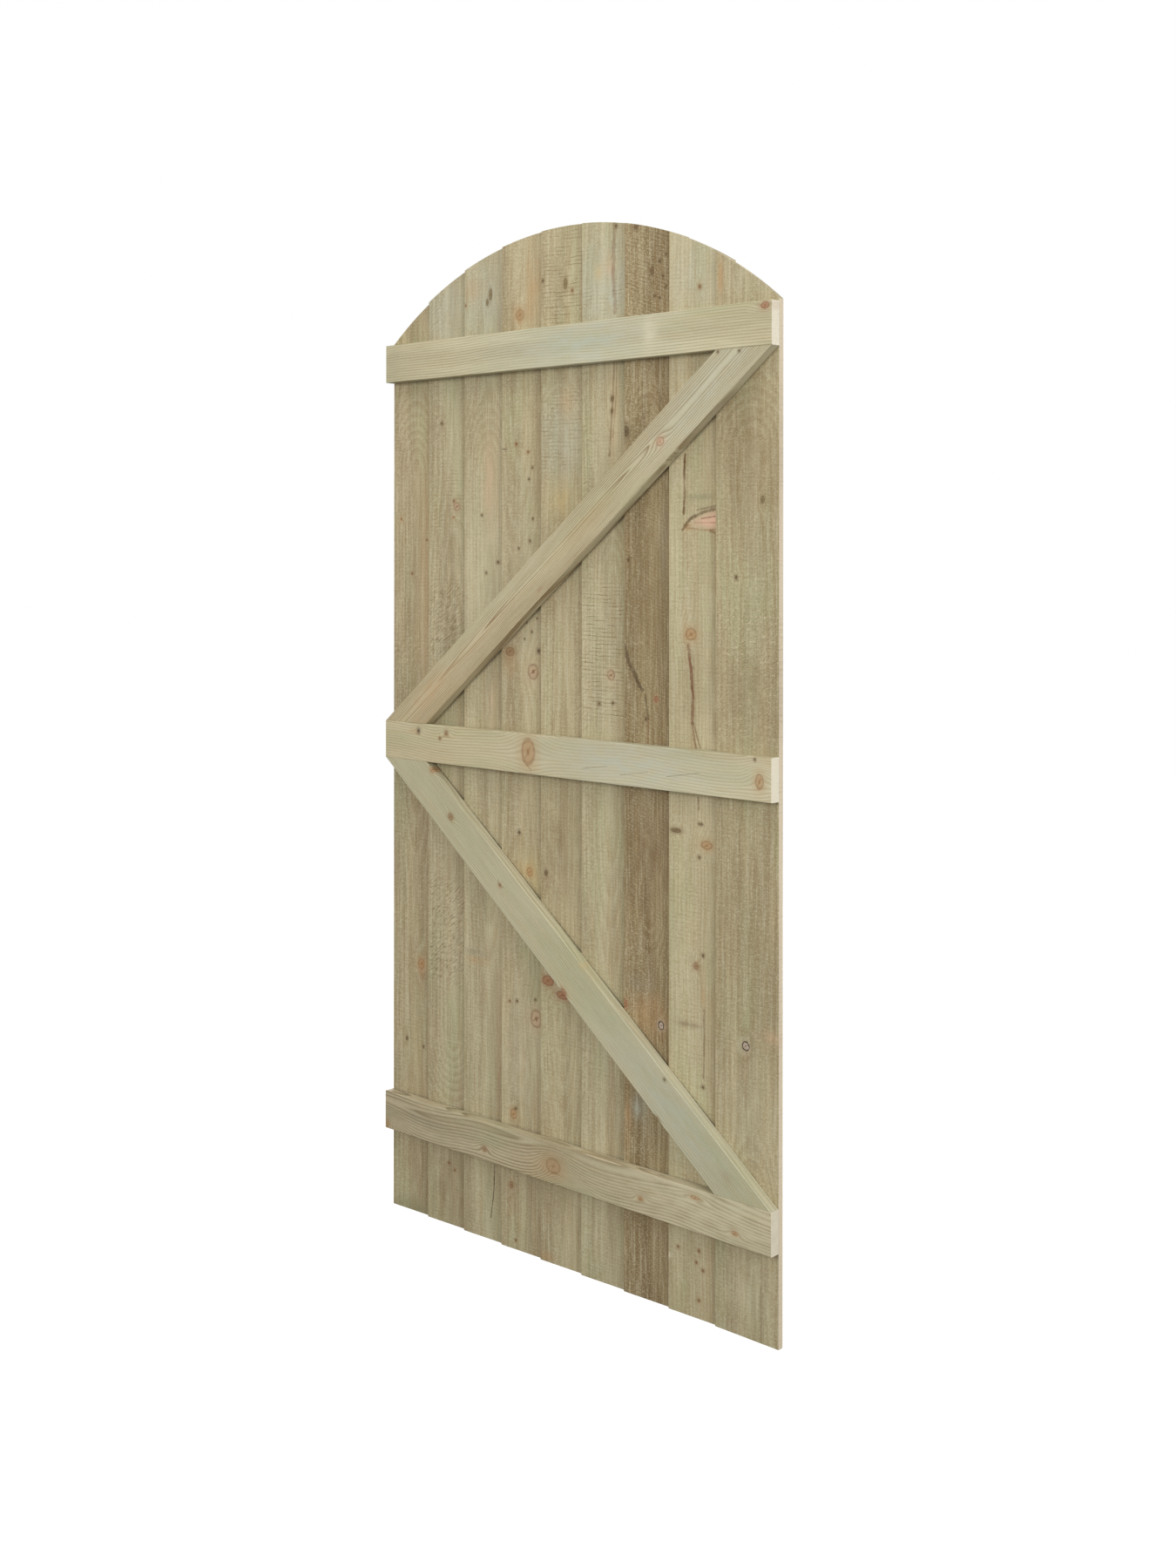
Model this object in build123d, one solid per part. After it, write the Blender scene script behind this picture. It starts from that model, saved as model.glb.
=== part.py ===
from build123d import *
import math
import os

# Arched closeboard gate leaf, ledged and braced, in millimetres.
# X runs across the leaf, to the right for someone who faces the rails.
# Y runs through it, from the back of the rails to the weather side of the boards. Z is up.
# The origin lies under the middle of the leaf, half-way through its depth, at the boards' feet.

# Overall sizes
gate_width = 900.0
gate_height = 1800.0
arch_rise = 170.0

# Feather-edge boards: one long edge is thick, the other is sawn thin
board_count = 9
board_width = 125.0
thick_edge = 11.0
thin_edge = 3.0
lap_gap = 0.05

# Rails: the top one lies just under the springing of the arch, and the middle one a little
# below half-way between the other two
rail_width = 70.0
rail_thickness = 20.0
bottom_rail_above_feet = 149.0
top_rail_below_springing = 4.0
middle_rail_below_halfway = 3.5

# Braces
brace_width = 70.0
brace_thickness = 20.0
brace_end_gap = 0.1

# Rounded long edges of the planed timber
planed_edge_radius = 1.5

# Nails, driven from the weather side and set flush. Their rounds are drawn as a ring of flats,
# which keeps the many small holes light.
nail_length = 27.0
nail_diameter = 2.1
nail_head_diameter = 5.0
nail_head_thickness = 1.0
nail_point_length = 3.0
nail_hole_gap = 0.05
nail_from_thick_edge = 40.0
nail_flat_count = 8

# Places that follow from the sizes above
left_side = -gate_width / 2
right_side = gate_width / 2
board_pitch = (gate_width - board_width) / (board_count - 1)
board_lap = board_width - board_pitch
springing = gate_height - arch_rise
bottom_rail_centre = bottom_rail_above_feet + rail_width / 2
top_rail_centre = springing - top_rail_below_springing - rail_width / 2
middle_rail_centre = (bottom_rail_centre + top_rail_centre) / 2 - middle_rail_below_halfway


def thick_edge_lifts():
    """How far each board's thick edge stands off the rails, because it lies on its neighbour."""
    lifts = [0.0]
    while len(lifts) < board_count:
        neighbour_rise = lifts[-1] + thick_edge - thin_edge
        face_under_edge = thin_edge + neighbour_rise * board_lap / board_width
        lifts.append(face_under_edge + lap_gap)
    return lifts


edge_lifts = thick_edge_lifts()
boards_depth = edge_lifts[-1] + thick_edge
rails_depth = max(rail_thickness, brace_thickness)
meeting_plane = (rails_depth - boards_depth) / 2


class Board:
    """Place of one board. The first lies flat at the right side, and each later one laps it."""

    def __init__(self, index):
        self.left = right_side - board_width - index * board_pitch
        self.right = self.left + board_width
        self.lift = edge_lifts[index]
        self.nail_line = self.right - nail_from_thick_edge
        self.face_slope = (self.lift + thick_edge - thin_edge) / board_width

    def outer_face(self, x):
        """Y of the weather face at a distance x across the gate."""
        return meeting_plane + thin_edge + (x - self.left) * self.face_slope

    def nail_place(self, height):
        """Frame at the top of a nail's head, with its Z square out of the weather face."""
        head = (self.nail_line, self.outer_face(self.nail_line), height)
        outwards = (-self.face_slope, 1, 0)
        return Plane(origin=head, x_dir=(0, 0, 1), z_dir=outwards)


class Brace:
    """Outline of one brace, which runs from a rail at the left side to one at the right."""

    def __init__(self, left_height, right_height):
        self.left_height = left_height
        self.right_height = right_height
        rise = abs(right_height - left_height)
        diagonal = math.hypot(gate_width, rise)
        self.angle = math.atan2(rise, gate_width) + math.asin(brace_width / diagonal)
        self.end_cut = brace_width / math.sin(self.angle)
        self.slope = math.copysign(math.tan(self.angle), right_height - left_height)

    def corners(self):
        """The four corners, with both ends sawn level to stand on the rails."""
        return [
            (left_side, self.left_height),
            (left_side + self.end_cut, self.left_height),
            (right_side, self.right_height),
            (right_side - self.end_cut, self.right_height),
        ]

    def middle_at(self, x):
        """Height half-way between the two long edges at x, within the sawn ends."""
        low, high = sorted((self.left_height, self.right_height))
        near_edge = self.left_height + (x - left_side) * self.slope
        far_edge = near_edge - self.end_cut * self.slope
        return sum(min(max(edge, low), high) for edge in (near_edge, far_edge)) / 2


boards = [Board(index) for index in range(board_count)]

rail_centres = {
    "bottom_rail": bottom_rail_centre,
    "middle_rail": middle_rail_centre,
    "top_rail": top_rail_centre,
}

brace_reach = rail_width / 2 + brace_end_gap
braces = {
    "upper_brace": Brace(middle_rail_centre + brace_reach, top_rail_centre - brace_reach),
    "lower_brace": Brace(middle_rail_centre - brace_reach, bottom_rail_centre + brace_reach),
}


def nail(gap=0.0):
    """One nail that points down its own Z, each of its faces moved out by the gap."""
    head_ring = RegularPolygon(nail_head_diameter / 2 + gap, nail_flat_count)
    shank_ring = RegularPolygon(nail_diameter / 2 + gap, nail_flat_count)
    under_head = -nail_head_thickness - gap
    shoulder = nail_point_length - nail_length - gap
    tip = Vertex(0, 0, -nail_length - gap)
    head = extrude(Pos(0, 0, under_head) * head_ring, amount=gap - under_head)
    shank = extrude(Pos(0, 0, shoulder) * shank_ring, amount=under_head - shoulder)
    point = loft([Pos(0, 0, shoulder) * shank_ring.face(), tip])
    return head + shank + point


def placed(shape, places):
    """A copy of the shape at each place."""
    return [place.location * shape for place in places]


def arch_outline():
    """The gate's front outline: square feet, straight sides and one arc over the top."""
    sides_and_feet = Polyline(
        (left_side, 0, springing),
        (left_side, 0, 0),
        (right_side, 0, 0),
        (right_side, 0, springing),
    )
    arch = ThreePointArc(
        (right_side, 0, springing),
        (0, 0, gate_height),
        (left_side, 0, springing),
    )
    return make_face([sides_and_feet, arch])


def arch_block():
    """The space inside the outline, deep enough for every board."""
    return extrude(arch_outline(), amount=gate_width, dir=(0, 1, 0), both=True)


def board_solid(board, nail_places):
    """A tapered board, sawn to the arch and bored for its nails."""
    back = meeting_plane
    section = Polyline(
        (board.left, back, 0),
        (board.right, back + board.lift, 0),
        (board.right, back + board.lift + thick_edge, 0),
        (board.left, back + thin_edge, 0),
        close=True,
    )
    plank = extrude(make_face(section), amount=gate_height, dir=(0, 0, 1))
    sawn = plank & arch_block()
    return sawn - placed(nail(nail_hole_gap), nail_places)


def rail_solid(centre, nail_places):
    """A planed rail as long as the gate is wide, against the back of the boards."""
    middle = (0, meeting_plane - rail_thickness / 2, centre)
    timber = Pos(*middle) * Box(gate_width, rail_thickness, rail_width)
    eased = fillet(timber.edges().filter_by(Axis.X), planed_edge_radius)
    return eased - placed(nail(nail_hole_gap), nail_places)


def brace_solid(brace, nail_places):
    """A planed brace whose level ends stand on the rails."""
    outline = Polyline([(x, meeting_plane, z) for x, z in brace.corners()], close=True)
    timber = extrude(make_face(outline), amount=brace_thickness, dir=(0, -1, 0))
    along = Axis((0, 0, 0), (1, 0, brace.slope))
    eased = fillet(timber.edges().filter_by(along), planed_edge_radius)
    return eased - placed(nail(nail_hole_gap), nail_places)


# One nail for each board at each rail and at each brace
nail_places = {
    name: [board.nail_place(centre) for board in boards]
    for name, centre in rail_centres.items()
}
for name, brace in braces.items():
    nail_places[name] = [board.nail_place(brace.middle_at(board.nail_line)) for board in boards]

nodes = {}
for index, board in enumerate(boards):
    own_places = [places[index] for places in nail_places.values()]
    nodes[f"board_{index + 1}"] = board_solid(board, own_places)
for name, centre in rail_centres.items():
    nodes[name] = rail_solid(centre, nail_places[name])
for name, brace in braces.items():
    nodes[name] = brace_solid(brace, nail_places[name])
for name, places in nail_places.items():
    nodes[f"{name}_nails"] = Compound(placed(nail(), places))

os.makedirs("parts", exist_ok=True)
for name, shape in nodes.items():
    export_step(shape, f"parts/{name}.step")

print("board pitch", round(board_pitch, 3), "lap", round(board_lap, 3))
print("thick edge lifts", [round(lift, 3) for lift in edge_lifts])
print("meeting plane", round(meeting_plane, 4), "depth", round(rails_depth + boards_depth, 3))
for name, brace in braces.items():
    print(name, "angle", round(math.degrees(brace.angle), 2), "end cut", round(brace.end_cut, 2))
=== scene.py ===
# %% [markdown]
# The leaf of an arched garden gate, in softwood tinted green by its pressure treatment. Nine
# boards with tapered sections lap over each other, and three rails and two braces hold them at
# the back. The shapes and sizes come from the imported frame, so the frame is loaded first.
#
# The box of the whole model is kept from before anything is added, to compare at the end.

# %% Load the frame
import math

import bpy
import mathutils
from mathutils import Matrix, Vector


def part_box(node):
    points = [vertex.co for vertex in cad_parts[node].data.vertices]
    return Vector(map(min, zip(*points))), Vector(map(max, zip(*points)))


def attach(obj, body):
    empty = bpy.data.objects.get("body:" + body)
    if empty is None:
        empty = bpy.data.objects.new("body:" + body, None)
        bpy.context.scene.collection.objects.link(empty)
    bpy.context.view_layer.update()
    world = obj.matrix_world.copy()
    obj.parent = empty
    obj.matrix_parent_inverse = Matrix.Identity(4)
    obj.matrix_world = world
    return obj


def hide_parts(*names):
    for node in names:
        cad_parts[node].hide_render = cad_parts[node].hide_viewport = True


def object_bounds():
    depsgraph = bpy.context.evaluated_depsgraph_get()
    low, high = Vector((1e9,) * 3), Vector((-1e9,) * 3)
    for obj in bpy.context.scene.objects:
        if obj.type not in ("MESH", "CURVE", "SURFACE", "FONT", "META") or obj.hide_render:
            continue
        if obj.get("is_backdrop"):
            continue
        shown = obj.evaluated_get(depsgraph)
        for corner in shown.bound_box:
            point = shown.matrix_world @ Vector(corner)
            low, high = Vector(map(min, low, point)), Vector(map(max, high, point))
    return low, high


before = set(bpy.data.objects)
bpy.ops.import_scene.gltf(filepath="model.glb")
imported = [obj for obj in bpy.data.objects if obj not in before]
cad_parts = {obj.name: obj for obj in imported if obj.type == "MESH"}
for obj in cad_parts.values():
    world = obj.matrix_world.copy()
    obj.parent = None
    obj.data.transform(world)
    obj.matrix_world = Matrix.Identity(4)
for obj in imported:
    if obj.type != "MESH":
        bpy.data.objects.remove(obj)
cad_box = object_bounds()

print("gate", [round(1000 * (high - low), 1) for low, high in zip(*cad_box)], "mm")

# %% [markdown]
# Wood has few flat colours. Its tone follows the growth rings, the fibres, the saw and the knots,
# all at once. Each of these is a small sum over the place on the timber, so the shaders are best
# written as sums too. One class stands for a number that changes from place to place, and using
# plus or times on it adds the Math node. A second class makes every other kind of node, and it
# serves shaders and shapes alike, because both kinds of tree share their maths nodes.

# %% A number that changes from place to place
class Field:
    """A socket's value. Sums written with it add Math nodes to its graph."""

    def __init__(self, graph, socket):
        self.graph = graph
        self.socket = socket

    def __add__(self, other):
        return self.graph.maths("ADD", self, other)

    def __sub__(self, other):
        return self.graph.maths("SUBTRACT", self, other)

    def __rsub__(self, other):
        return self.graph.maths("SUBTRACT", other, self)

    def __mul__(self, other):
        return self.graph.maths("MULTIPLY", self, other)

    def __truediv__(self, other):
        return self.graph.maths("DIVIDE", self, other)


# %% A graph of nodes
class Graph:
    """Adds nodes to one tree, a shader's or a shape's."""

    def __init__(self, tree):
        self.tree = tree

    def node(self, kind, settings=None, sockets=None, out=0):
        """A node of that kind, with its settings made first and its sockets set or linked."""
        made = self.tree.nodes.new(kind)
        for name, value in (settings or {}).items():
            setattr(made, name, value)
        for name, value in (sockets or {}).items():
            if isinstance(value, Field):
                self.tree.links.new(value.socket, made.inputs[name])
            else:
                made.inputs[name].default_value = value
        return Field(self, made.outputs[out]) if made.outputs else made

    def also(self, field, out):
        """Another output of the node that made a field."""
        return Field(self, field.socket.node.outputs[out])

    def maths(self, operation, *values):
        return self.node("ShaderNodeMath", {"operation": operation}, dict(enumerate(values)))

    def vector(self, operation, *values, out=0):
        return self.node("ShaderNodeVectorMath", {"operation": operation}, dict(enumerate(values)), out)

    def join(self, x, y, z):
        return self.node("ShaderNodeCombineXYZ", None, {0: x, 1: y, 2: z})

    def parts(self, vector):
        first = self.node("ShaderNodeSeparateXYZ", None, {0: vector})
        return first, self.also(first, 1), self.also(first, 2)

    def ramp(self, value, start, end, low=0.0, high=1.0):
        """Goes softly from low, where the value is at start, to high, where it is at end."""
        if not isinstance(start, Field) and start > end:
            start, end, low, high = end, start, high, low
        ends = {"Value": value, "From Min": start, "From Max": end, "To Min": low, "To Max": high}
        return self.node("ShaderNodeMapRange", {"interpolation_type": "SMOOTHSTEP"}, ends)

    def noise(self, vector, detail=2.0, roughness=0.5):
        """Cloudy noise from 0 to 1, with lumps about one unit wide."""
        sockets = {"Vector": vector, "Scale": 1.0, "Detail": detail, "Roughness": roughness}
        return self.node("ShaderNodeTexNoise", None, sockets)

    def use(self, tree, sockets):
        """One copy of a shader group, and its outputs by name."""
        first = self.node("ShaderNodeGroup", {"node_tree": tree}, sockets)
        return {socket.name: Field(self, socket) for socket in first.socket.node.outputs}

    def mix(self, share, under, over):
        """One colour laid over another."""
        return self.node("ShaderNodeMix", {"data_type": "RGBA"}, {0: share, 6: under, 7: over}, out=2)


def tone(red, green, blue):
    """A screen colour from 0 to 255 as the linear colour that a shader needs."""
    parts = []
    for part in (red, green, blue):
        share = part / 255
        parts.append(share / 12.92 if share <= 0.04045 else ((share + 0.055) / 1.055) ** 2.4)
    return (*parts, 1.0)


# %% [markdown]
# The photograph was taken from the right, at about the height of a person's chest, with the
# camera held level: upright edges stay parallel, and only the level ones run together. A level
# camera with its lens shifted down gives the same picture, where a tilted one would make the
# sides lean.

# %% Camera
mm = 0.001
frame_long_side = 1800
focal_pixels = 1988.5
horizon_row = 636.2
camera_turn = math.radians(42.412)
camera_roll = math.radians(-0.05)

camera_data = bpy.data.cameras.new("camera")
camera_data.sensor_width = 36
camera_data.lens = camera_data.sensor_width * focal_pixels / frame_long_side
camera_data.shift_y = (horizon_row - frame_long_side / 2) / frame_long_side
camera = bpy.data.objects.new("camera", camera_data)
camera.location = (2.0403, -2.1785, 1.2328)
camera.rotation_euler = (math.pi / 2, camera_roll, camera_turn)
bpy.context.scene.collection.objects.link(camera)
bpy.context.scene.camera = camera
print("lens", round(camera_data.lens, 2), "shift", round(camera_data.shift_y, 4))

# %% [markdown]
# The light is a studio's. A soft lamp in front of the rails leaves a shadow under each of them,
# weaker ones stand above and at the right, and one behind lights the weather side for a view
# from there. An even white room fills the rest. The floor looks white to the camera, but it
# throws back less light than that, so that the feet of the boards stay a little darker. It
# still takes the gate's shadow.

# %% Light and room
view_settings = bpy.context.scene.view_settings
view_settings.view_transform = "Standard"

room_fill = 0.62
world = bpy.data.worlds.new("room")
world.use_nodes = True
bpy.context.scene.world = world
room = Graph(world.node_tree)
seen = room.node("ShaderNodeLightPath")
glossy = room.also(seen, "Is Glossy Ray")
mirrored = room.maths("MAXIMUM", glossy, room.also(seen, "Is Transmission Ray"))
shown = room.maths("MAXIMUM", seen, mirrored)
background = world.node_tree.nodes["Background"]
background.inputs["Color"].default_value = (1, 1, 1, 1)
strength = shown * (1 - room_fill) + room_fill
world.node_tree.links.new(strength.socket, background.inputs["Strength"])

gate_middle = mathutils.Vector((0.0, 0.0, 0.9))


def lamp(name, place, size, watts):
    """A square soft lamp that points at the middle of the gate."""
    data = bpy.data.lights.new(name, "AREA")
    data.shape = "SQUARE"
    data.size = size
    data.energy = watts
    made = bpy.data.objects.new(name, data)
    made.location = place
    aim = gate_middle - mathutils.Vector(place)
    made.rotation_euler = aim.to_track_quat("-Z", "Y").to_euler()
    bpy.context.scene.collection.objects.link(made)


lamp("key lamp", (0.7, -4.2, 2.1), 1.4, 74)
lamp("top lamp", (0.1, -1.1, 3.7), 1.1, 18)
lamp("side lamp", (3.6, -0.9, 1.7), 1.0, 45)
lamp("back lamp", (-2.8, 3.2, 2.4), 1.4, 84)
print("lamps", len(bpy.data.lights), "room fill", room_fill)

# %% Floor
def new_material(name):
    """A material with its usual shader, and the graph of its nodes."""
    material = bpy.data.materials.new(name)
    material.use_nodes = True
    return material, Graph(material.node_tree)


def floor_material():
    """White to the camera, and duller to the light that falls on it."""
    material, graph = new_material("white floor")
    material.node_tree.nodes.clear()
    seen = graph.node("ShaderNodeLightPath")
    camera_ray = graph.maths("MAXIMUM", seen, graph.also(seen, "Is Transmission Ray"))
    dull = graph.node("ShaderNodeBsdfDiffuse", None, {"Color": (0.30, 0.29, 0.28, 1)})
    pale = graph.node("ShaderNodeBsdfDiffuse", None, {"Color": (0.9, 0.9, 0.9, 1)})
    white = graph.node("ShaderNodeEmission", None, {"Color": (1, 1, 1, 1), "Strength": 1.3})
    surface = graph.node("ShaderNodeMixShader", None, {0: 0.62, 1: pale, 2: white})
    both = graph.node("ShaderNodeMixShader", None, {0: camera_ray, 1: dull, 2: surface})
    graph.node("ShaderNodeOutputMaterial", None, {"Surface": both})
    return material


floor_reach = 14.0
bpy.ops.mesh.primitive_plane_add(size=floor_reach, location=(0, 0, 0))
floor = bpy.context.object
floor.name = "floor"
floor.data.materials.append(floor_material())
floor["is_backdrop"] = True
print("floor", floor_reach, "m across")

# %% [markdown]
# A finish for sawn wood starts from the growth rings. A tree is a stack of tubes, and a board is
# a slice through them: where the slice runs along the tubes the rings show as straight lines,
# and where it cuts out through the side of a tube they close into arches. So the rings here are
# the distance from a heart line that lies behind the board. Where that line moves away from the
# face, the rings close, and the board gets its nested arches without drawing a single one.
#
# Everything else is laid over that: fibres, saw lines, rough patches, stains, cracks and knots,
# each at its own place in millimetres along and across the timber. A knot also pushes the rings
# apart, as a branch does.

# %% Tones of stains and cracks
# The first tone of each pair is for stains, and the second for cracks
tones = {
    "black": (tone(62, 48, 32), tone(74, 56, 38)),
    "dark": (tone(104, 80, 54), tone(78, 57, 36)),
    "brown": (tone(142, 112, 78), tone(108, 80, 52)),
    "orange": (tone(178, 138, 92), tone(140, 102, 64)),
    "pink": (tone(200, 166, 134), tone(122, 90, 64)),
    "red": (tone(152, 104, 72), tone(112, 72, 46)),
    "olive": (tone(124, 108, 72), tone(94, 79, 50)),
    "yellow": (tone(196, 170, 116), tone(158, 128, 80)),
    "grey": (tone(134, 128, 108), tone(108, 100, 82)),
    "green": (tone(132, 130, 98), tone(100, 100, 72)),
    "pale": (tone(216, 208, 182), tone(196, 184, 156)),
    "light": (tone(204, 196, 166), tone(186, 176, 146)),
    "blue": (tone(178, 184, 170), tone(150, 156, 146)),
    "rose": (tone(206, 168, 142), tone(168, 126, 100)),
    "umber": (tone(116, 96, 62), tone(96, 78, 50)),
}

# %% [markdown]
# A timber has dozens of knots and stains, and each needs the same few sums. Written out every
# time they would make thousands of nodes, so each kind of mark is one group, built once and used
# again with other places and tones.

# %% Groups
number = "NodeSocketFloat"
triple = "NodeSocketVector"
paint = "NodeSocketColor"


def kinds(kind, *labels):
    """Sockets of one kind, by their labels."""
    return dict.fromkeys(labels, kind)


def new_tree(name, kind, inputs, outputs):
    """An empty group: its tree, its graph, and its inputs as fields."""
    tree = bpy.data.node_groups.new(name, kind)
    for label, socket_kind in inputs.items():
        tree.interface.new_socket(label, in_out="INPUT", socket_type=socket_kind)
    for label, socket_kind in outputs.items():
        tree.interface.new_socket(label, in_out="OUTPUT", socket_type=socket_kind)
    graph = Graph(tree)
    first = graph.node("NodeGroupInput")
    return tree, graph, {label: graph.also(first, label) for label in inputs}


spot = kinds(triple, "Place", "Spot", "Size")
surface = {"Colour": paint, "Height": number}


def new_mark(name, inputs):
    """An empty group for a mark, which changes the colour and the height of a surface."""
    return new_tree(name, "ShaderNodeTree", {**inputs, **surface}, surface)


def lumps(graph, at, size, detail, seed):
    """Noise whose lumps have that width, depth and length in millimetres."""
    across, through, along = at
    place = graph.join(across / size[0] + seed, through / size[1], along / size[2] + seed)
    return graph.noise(place, detail)


def spot_distance(graph, given):
    """How far the place is from the spot, as a share of the spot's size, squared."""
    offset = graph.vector("SUBTRACT", given["Place"], given["Spot"])
    scaled = graph.vector("DIVIDE", offset, given["Size"])
    return graph.vector("DOT_PRODUCT", scaled, scaled, out=1), offset


# %% How a knot pushes the grain aside
bend_group, graph, given = new_tree(
    "knot pushes grain", "ShaderNodeTree",
    {**spot, **kinds(number, "Shift", "Swell", "Push", "Rings")}, kinds(number, "Shift", "Swell"))
far, offset = spot_distance(graph, given)
near = graph.maths("EXPONENT", far * -1.0)
push = graph.parts(offset)[0] * near * given["Push"]
graph.node("NodeGroupOutput", None, {
    "Shift": given["Shift"] + push, "Swell": given["Swell"] + near * given["Rings"]})

# %% A stain
stain_group, graph, given = new_tree(
    "stain", "ShaderNodeTree",
    {**spot, **kinds(number, "Share", "Mottle"), **kinds(paint, "Tone", "Colour")}, kinds(paint, "Colour"))
far, offset = spot_distance(graph, given)
cover = graph.maths("EXPONENT", far * -1.0) * given["Mottle"] * given["Share"]
graph.node("NodeGroupOutput", None, {"Colour": graph.mix(cover, given["Colour"], given["Tone"])})

# %% A knot, with its rings, its rim, its core and the stain round it
knot_group, graph, given = new_mark("knot", {
    **spot, **kinds(paint, "Body", "Rim"), **kinds(number, "Jitter", "Halo", "Solid", "Edge", "Core")})
far, offset = spot_distance(graph, given)
ring = graph.maths("SQRT", far) + given["Jitter"] * 0.1
colour = graph.mix(graph.ramp(ring, 2.6, 0.7) * given["Halo"], given["Colour"], given["Body"])
years = graph.maths("SINE", ring * 15.0) * 0.5 + 0.5
inner = graph.ramp(ring, 1.05, 0.7) * given["Solid"]
colour = graph.mix(inner, colour, graph.mix(years * 0.16, given["Body"], given["Rim"]))
broken = graph.ramp(given["Jitter"], -1.6, 0.6, 0.45, 1.0)
rim = graph.ramp(ring, 1.16, 0.98) * graph.ramp(ring, 0.66, 0.88) * broken
colour = graph.mix(rim * given["Edge"], colour, given["Rim"])
across, _, along = graph.parts(offset)
dash = graph.maths("ABSOLUTE", along - across * 0.6 - given["Jitter"] * 0.5)
slit = graph.ramp(dash, 1.3, 0.3) * graph.ramp(ring, 0.8, 0.5)
core = graph.maths("MAXIMUM", graph.ramp(ring, 0.36, 0.14), slit)
colour = graph.mix(core * given["Core"], colour, given["Rim"])
graph.node("NodeGroupOutput", None, {"Colour": colour, "Height": given["Height"] - rim * 0.25})

# %% A small dark knot
dot_group, graph, given = new_mark("small knot", {**spot, "Jitter": number, **kinds(paint, "Body", "Rim")})
far, offset = spot_distance(graph, given)
ring = graph.maths("SQRT", far) + given["Jitter"] * 0.1
colour = graph.mix(graph.ramp(ring, 2.6, 0.8) * 0.42, given["Colour"], given["Body"])
core = graph.ramp(ring, 1.2, 0.4)
colour = graph.mix(core * 0.72, colour, given["Rim"])
graph.node("NodeGroupOutput", None, {"Colour": colour, "Height": given["Height"] - core * 0.3})

# %% A straight stretch of a crack, and the crack
stretch_group, graph, given = new_tree(
    "stretch of a crack", "ShaderNodeTree",
    {**kinds(triple, "Place", "Start", "Span"), **kinds(number, "Squared", "Before")}, kinds(number, "Gap"))
offset = graph.vector("SUBTRACT", given["Place"], given["Start"])
share = graph.vector("DOT_PRODUCT", offset, given["Span"], out=1) / given["Squared"]
held = graph.node("ShaderNodeClamp", None, {0: share})
nearest = graph.vector("MULTIPLY", given["Span"], graph.join(held, held, held))
gap = graph.vector("LENGTH", graph.vector("SUBTRACT", offset, nearest), out=1)
graph.node("NodeGroupOutput", None, {"Gap": graph.maths("MINIMUM", gap, given["Before"])})

crack_group, graph, given = new_mark("crack", {**kinds(number, "Gap", "Width", "Share"), "Tone": paint})
cover = graph.ramp(given["Gap"] / given["Width"], 0.8, 0.3) * given["Share"]
colour = graph.mix(cover, given["Colour"], given["Tone"])
graph.node("NodeGroupOutput", None, {"Colour": colour, "Height": given["Height"] - cover * 0.35})

# %% A soft-edged patch
patch_limits = ("From across", "To across", "From along", "To along")
patch_group, graph, given = new_tree(
    "patch", "ShaderNodeTree", kinds(number, "Across", "Along", *patch_limits, "Share", "Before"),
    kinds(number, "Mask"))
side, end = given["Across"], given["Along"]
first_side = graph.ramp(side - given["From across"], -6.0, 8.0)
other_side = graph.ramp(given["To across"] - side, -6.0, 8.0)
first_end = graph.ramp(end - given["From along"], -14.0, 14.0)
other_end = graph.ramp(given["To along"] - end, -14.0, 14.0)
mask = first_side * other_side * first_end * other_end
graph.node("NodeGroupOutput", None, {"Mask": graph.maths("MAXIMUM", mask * given["Share"], given["Before"])})

# %% [markdown]
# The wood itself is one group for every timber, with the things that differ from tree to tree as
# inputs: where the heart lay, how wide the rings are, the tones, and how far it was planed.

# %% Rings, fibres and tones
light = tones["light"][0]
wood_numbers = (
    "Across", "Bent", "Through", "Along", "Seed", "Heart", "Swell", "Grit", "Depth", "Ring", "Sway", "Drift",
    "Wobble", "Contrast", "Fibre", "Roughness", "Green", "End and edge highlight")
wood_tones = ("Pale", "Deep", "Late", "Green tone", "Blush tone", "End highlight tone")
wood_group, graph, given = new_tree(
    "wood", "ShaderNodeTree", {**kinds(number, *wood_numbers), **kinds(paint, *wood_tones)},
    {"Colour": paint, **kinds(number, "Height", "Roughness", "Mottle", "Jitter")})
at = (given["Across"], given["Through"], given["Along"])
seed = given["Seed"]
swing = lumps(graph, at, (420, 420, 330), 1, seed) - 0.5
heart = swing * given["Sway"] + given["Heart"]
drift = lumps(graph, at, (900, 900, 600), 1, seed + 3.1) - 0.5
deep = given["Through"] + given["Depth"] + drift * given["Drift"]
side = given["Bent"] - heart
radius = graph.maths("SQRT", side * side + deep * deep)
ragged = lumps(graph, at, (9, 30, 90), 3, seed + 5.7)
count = radius / given["Ring"] + ragged * given["Wobble"] + given["Swell"]
year = graph.maths("FRACT", count)
late = graph.ramp(year, 0.45, 0.86) * graph.ramp(year, 1.0, 0.9)
fade = lumps(graph, at, (22, 50, 260), 2, seed + 8.3)
late = late * graph.ramp(fade, 0.25, 0.7, 0.45, 1.0)
early = graph.ramp(year, 0.0, 0.1) * graph.ramp(year, 0.5, 0.2)

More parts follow.
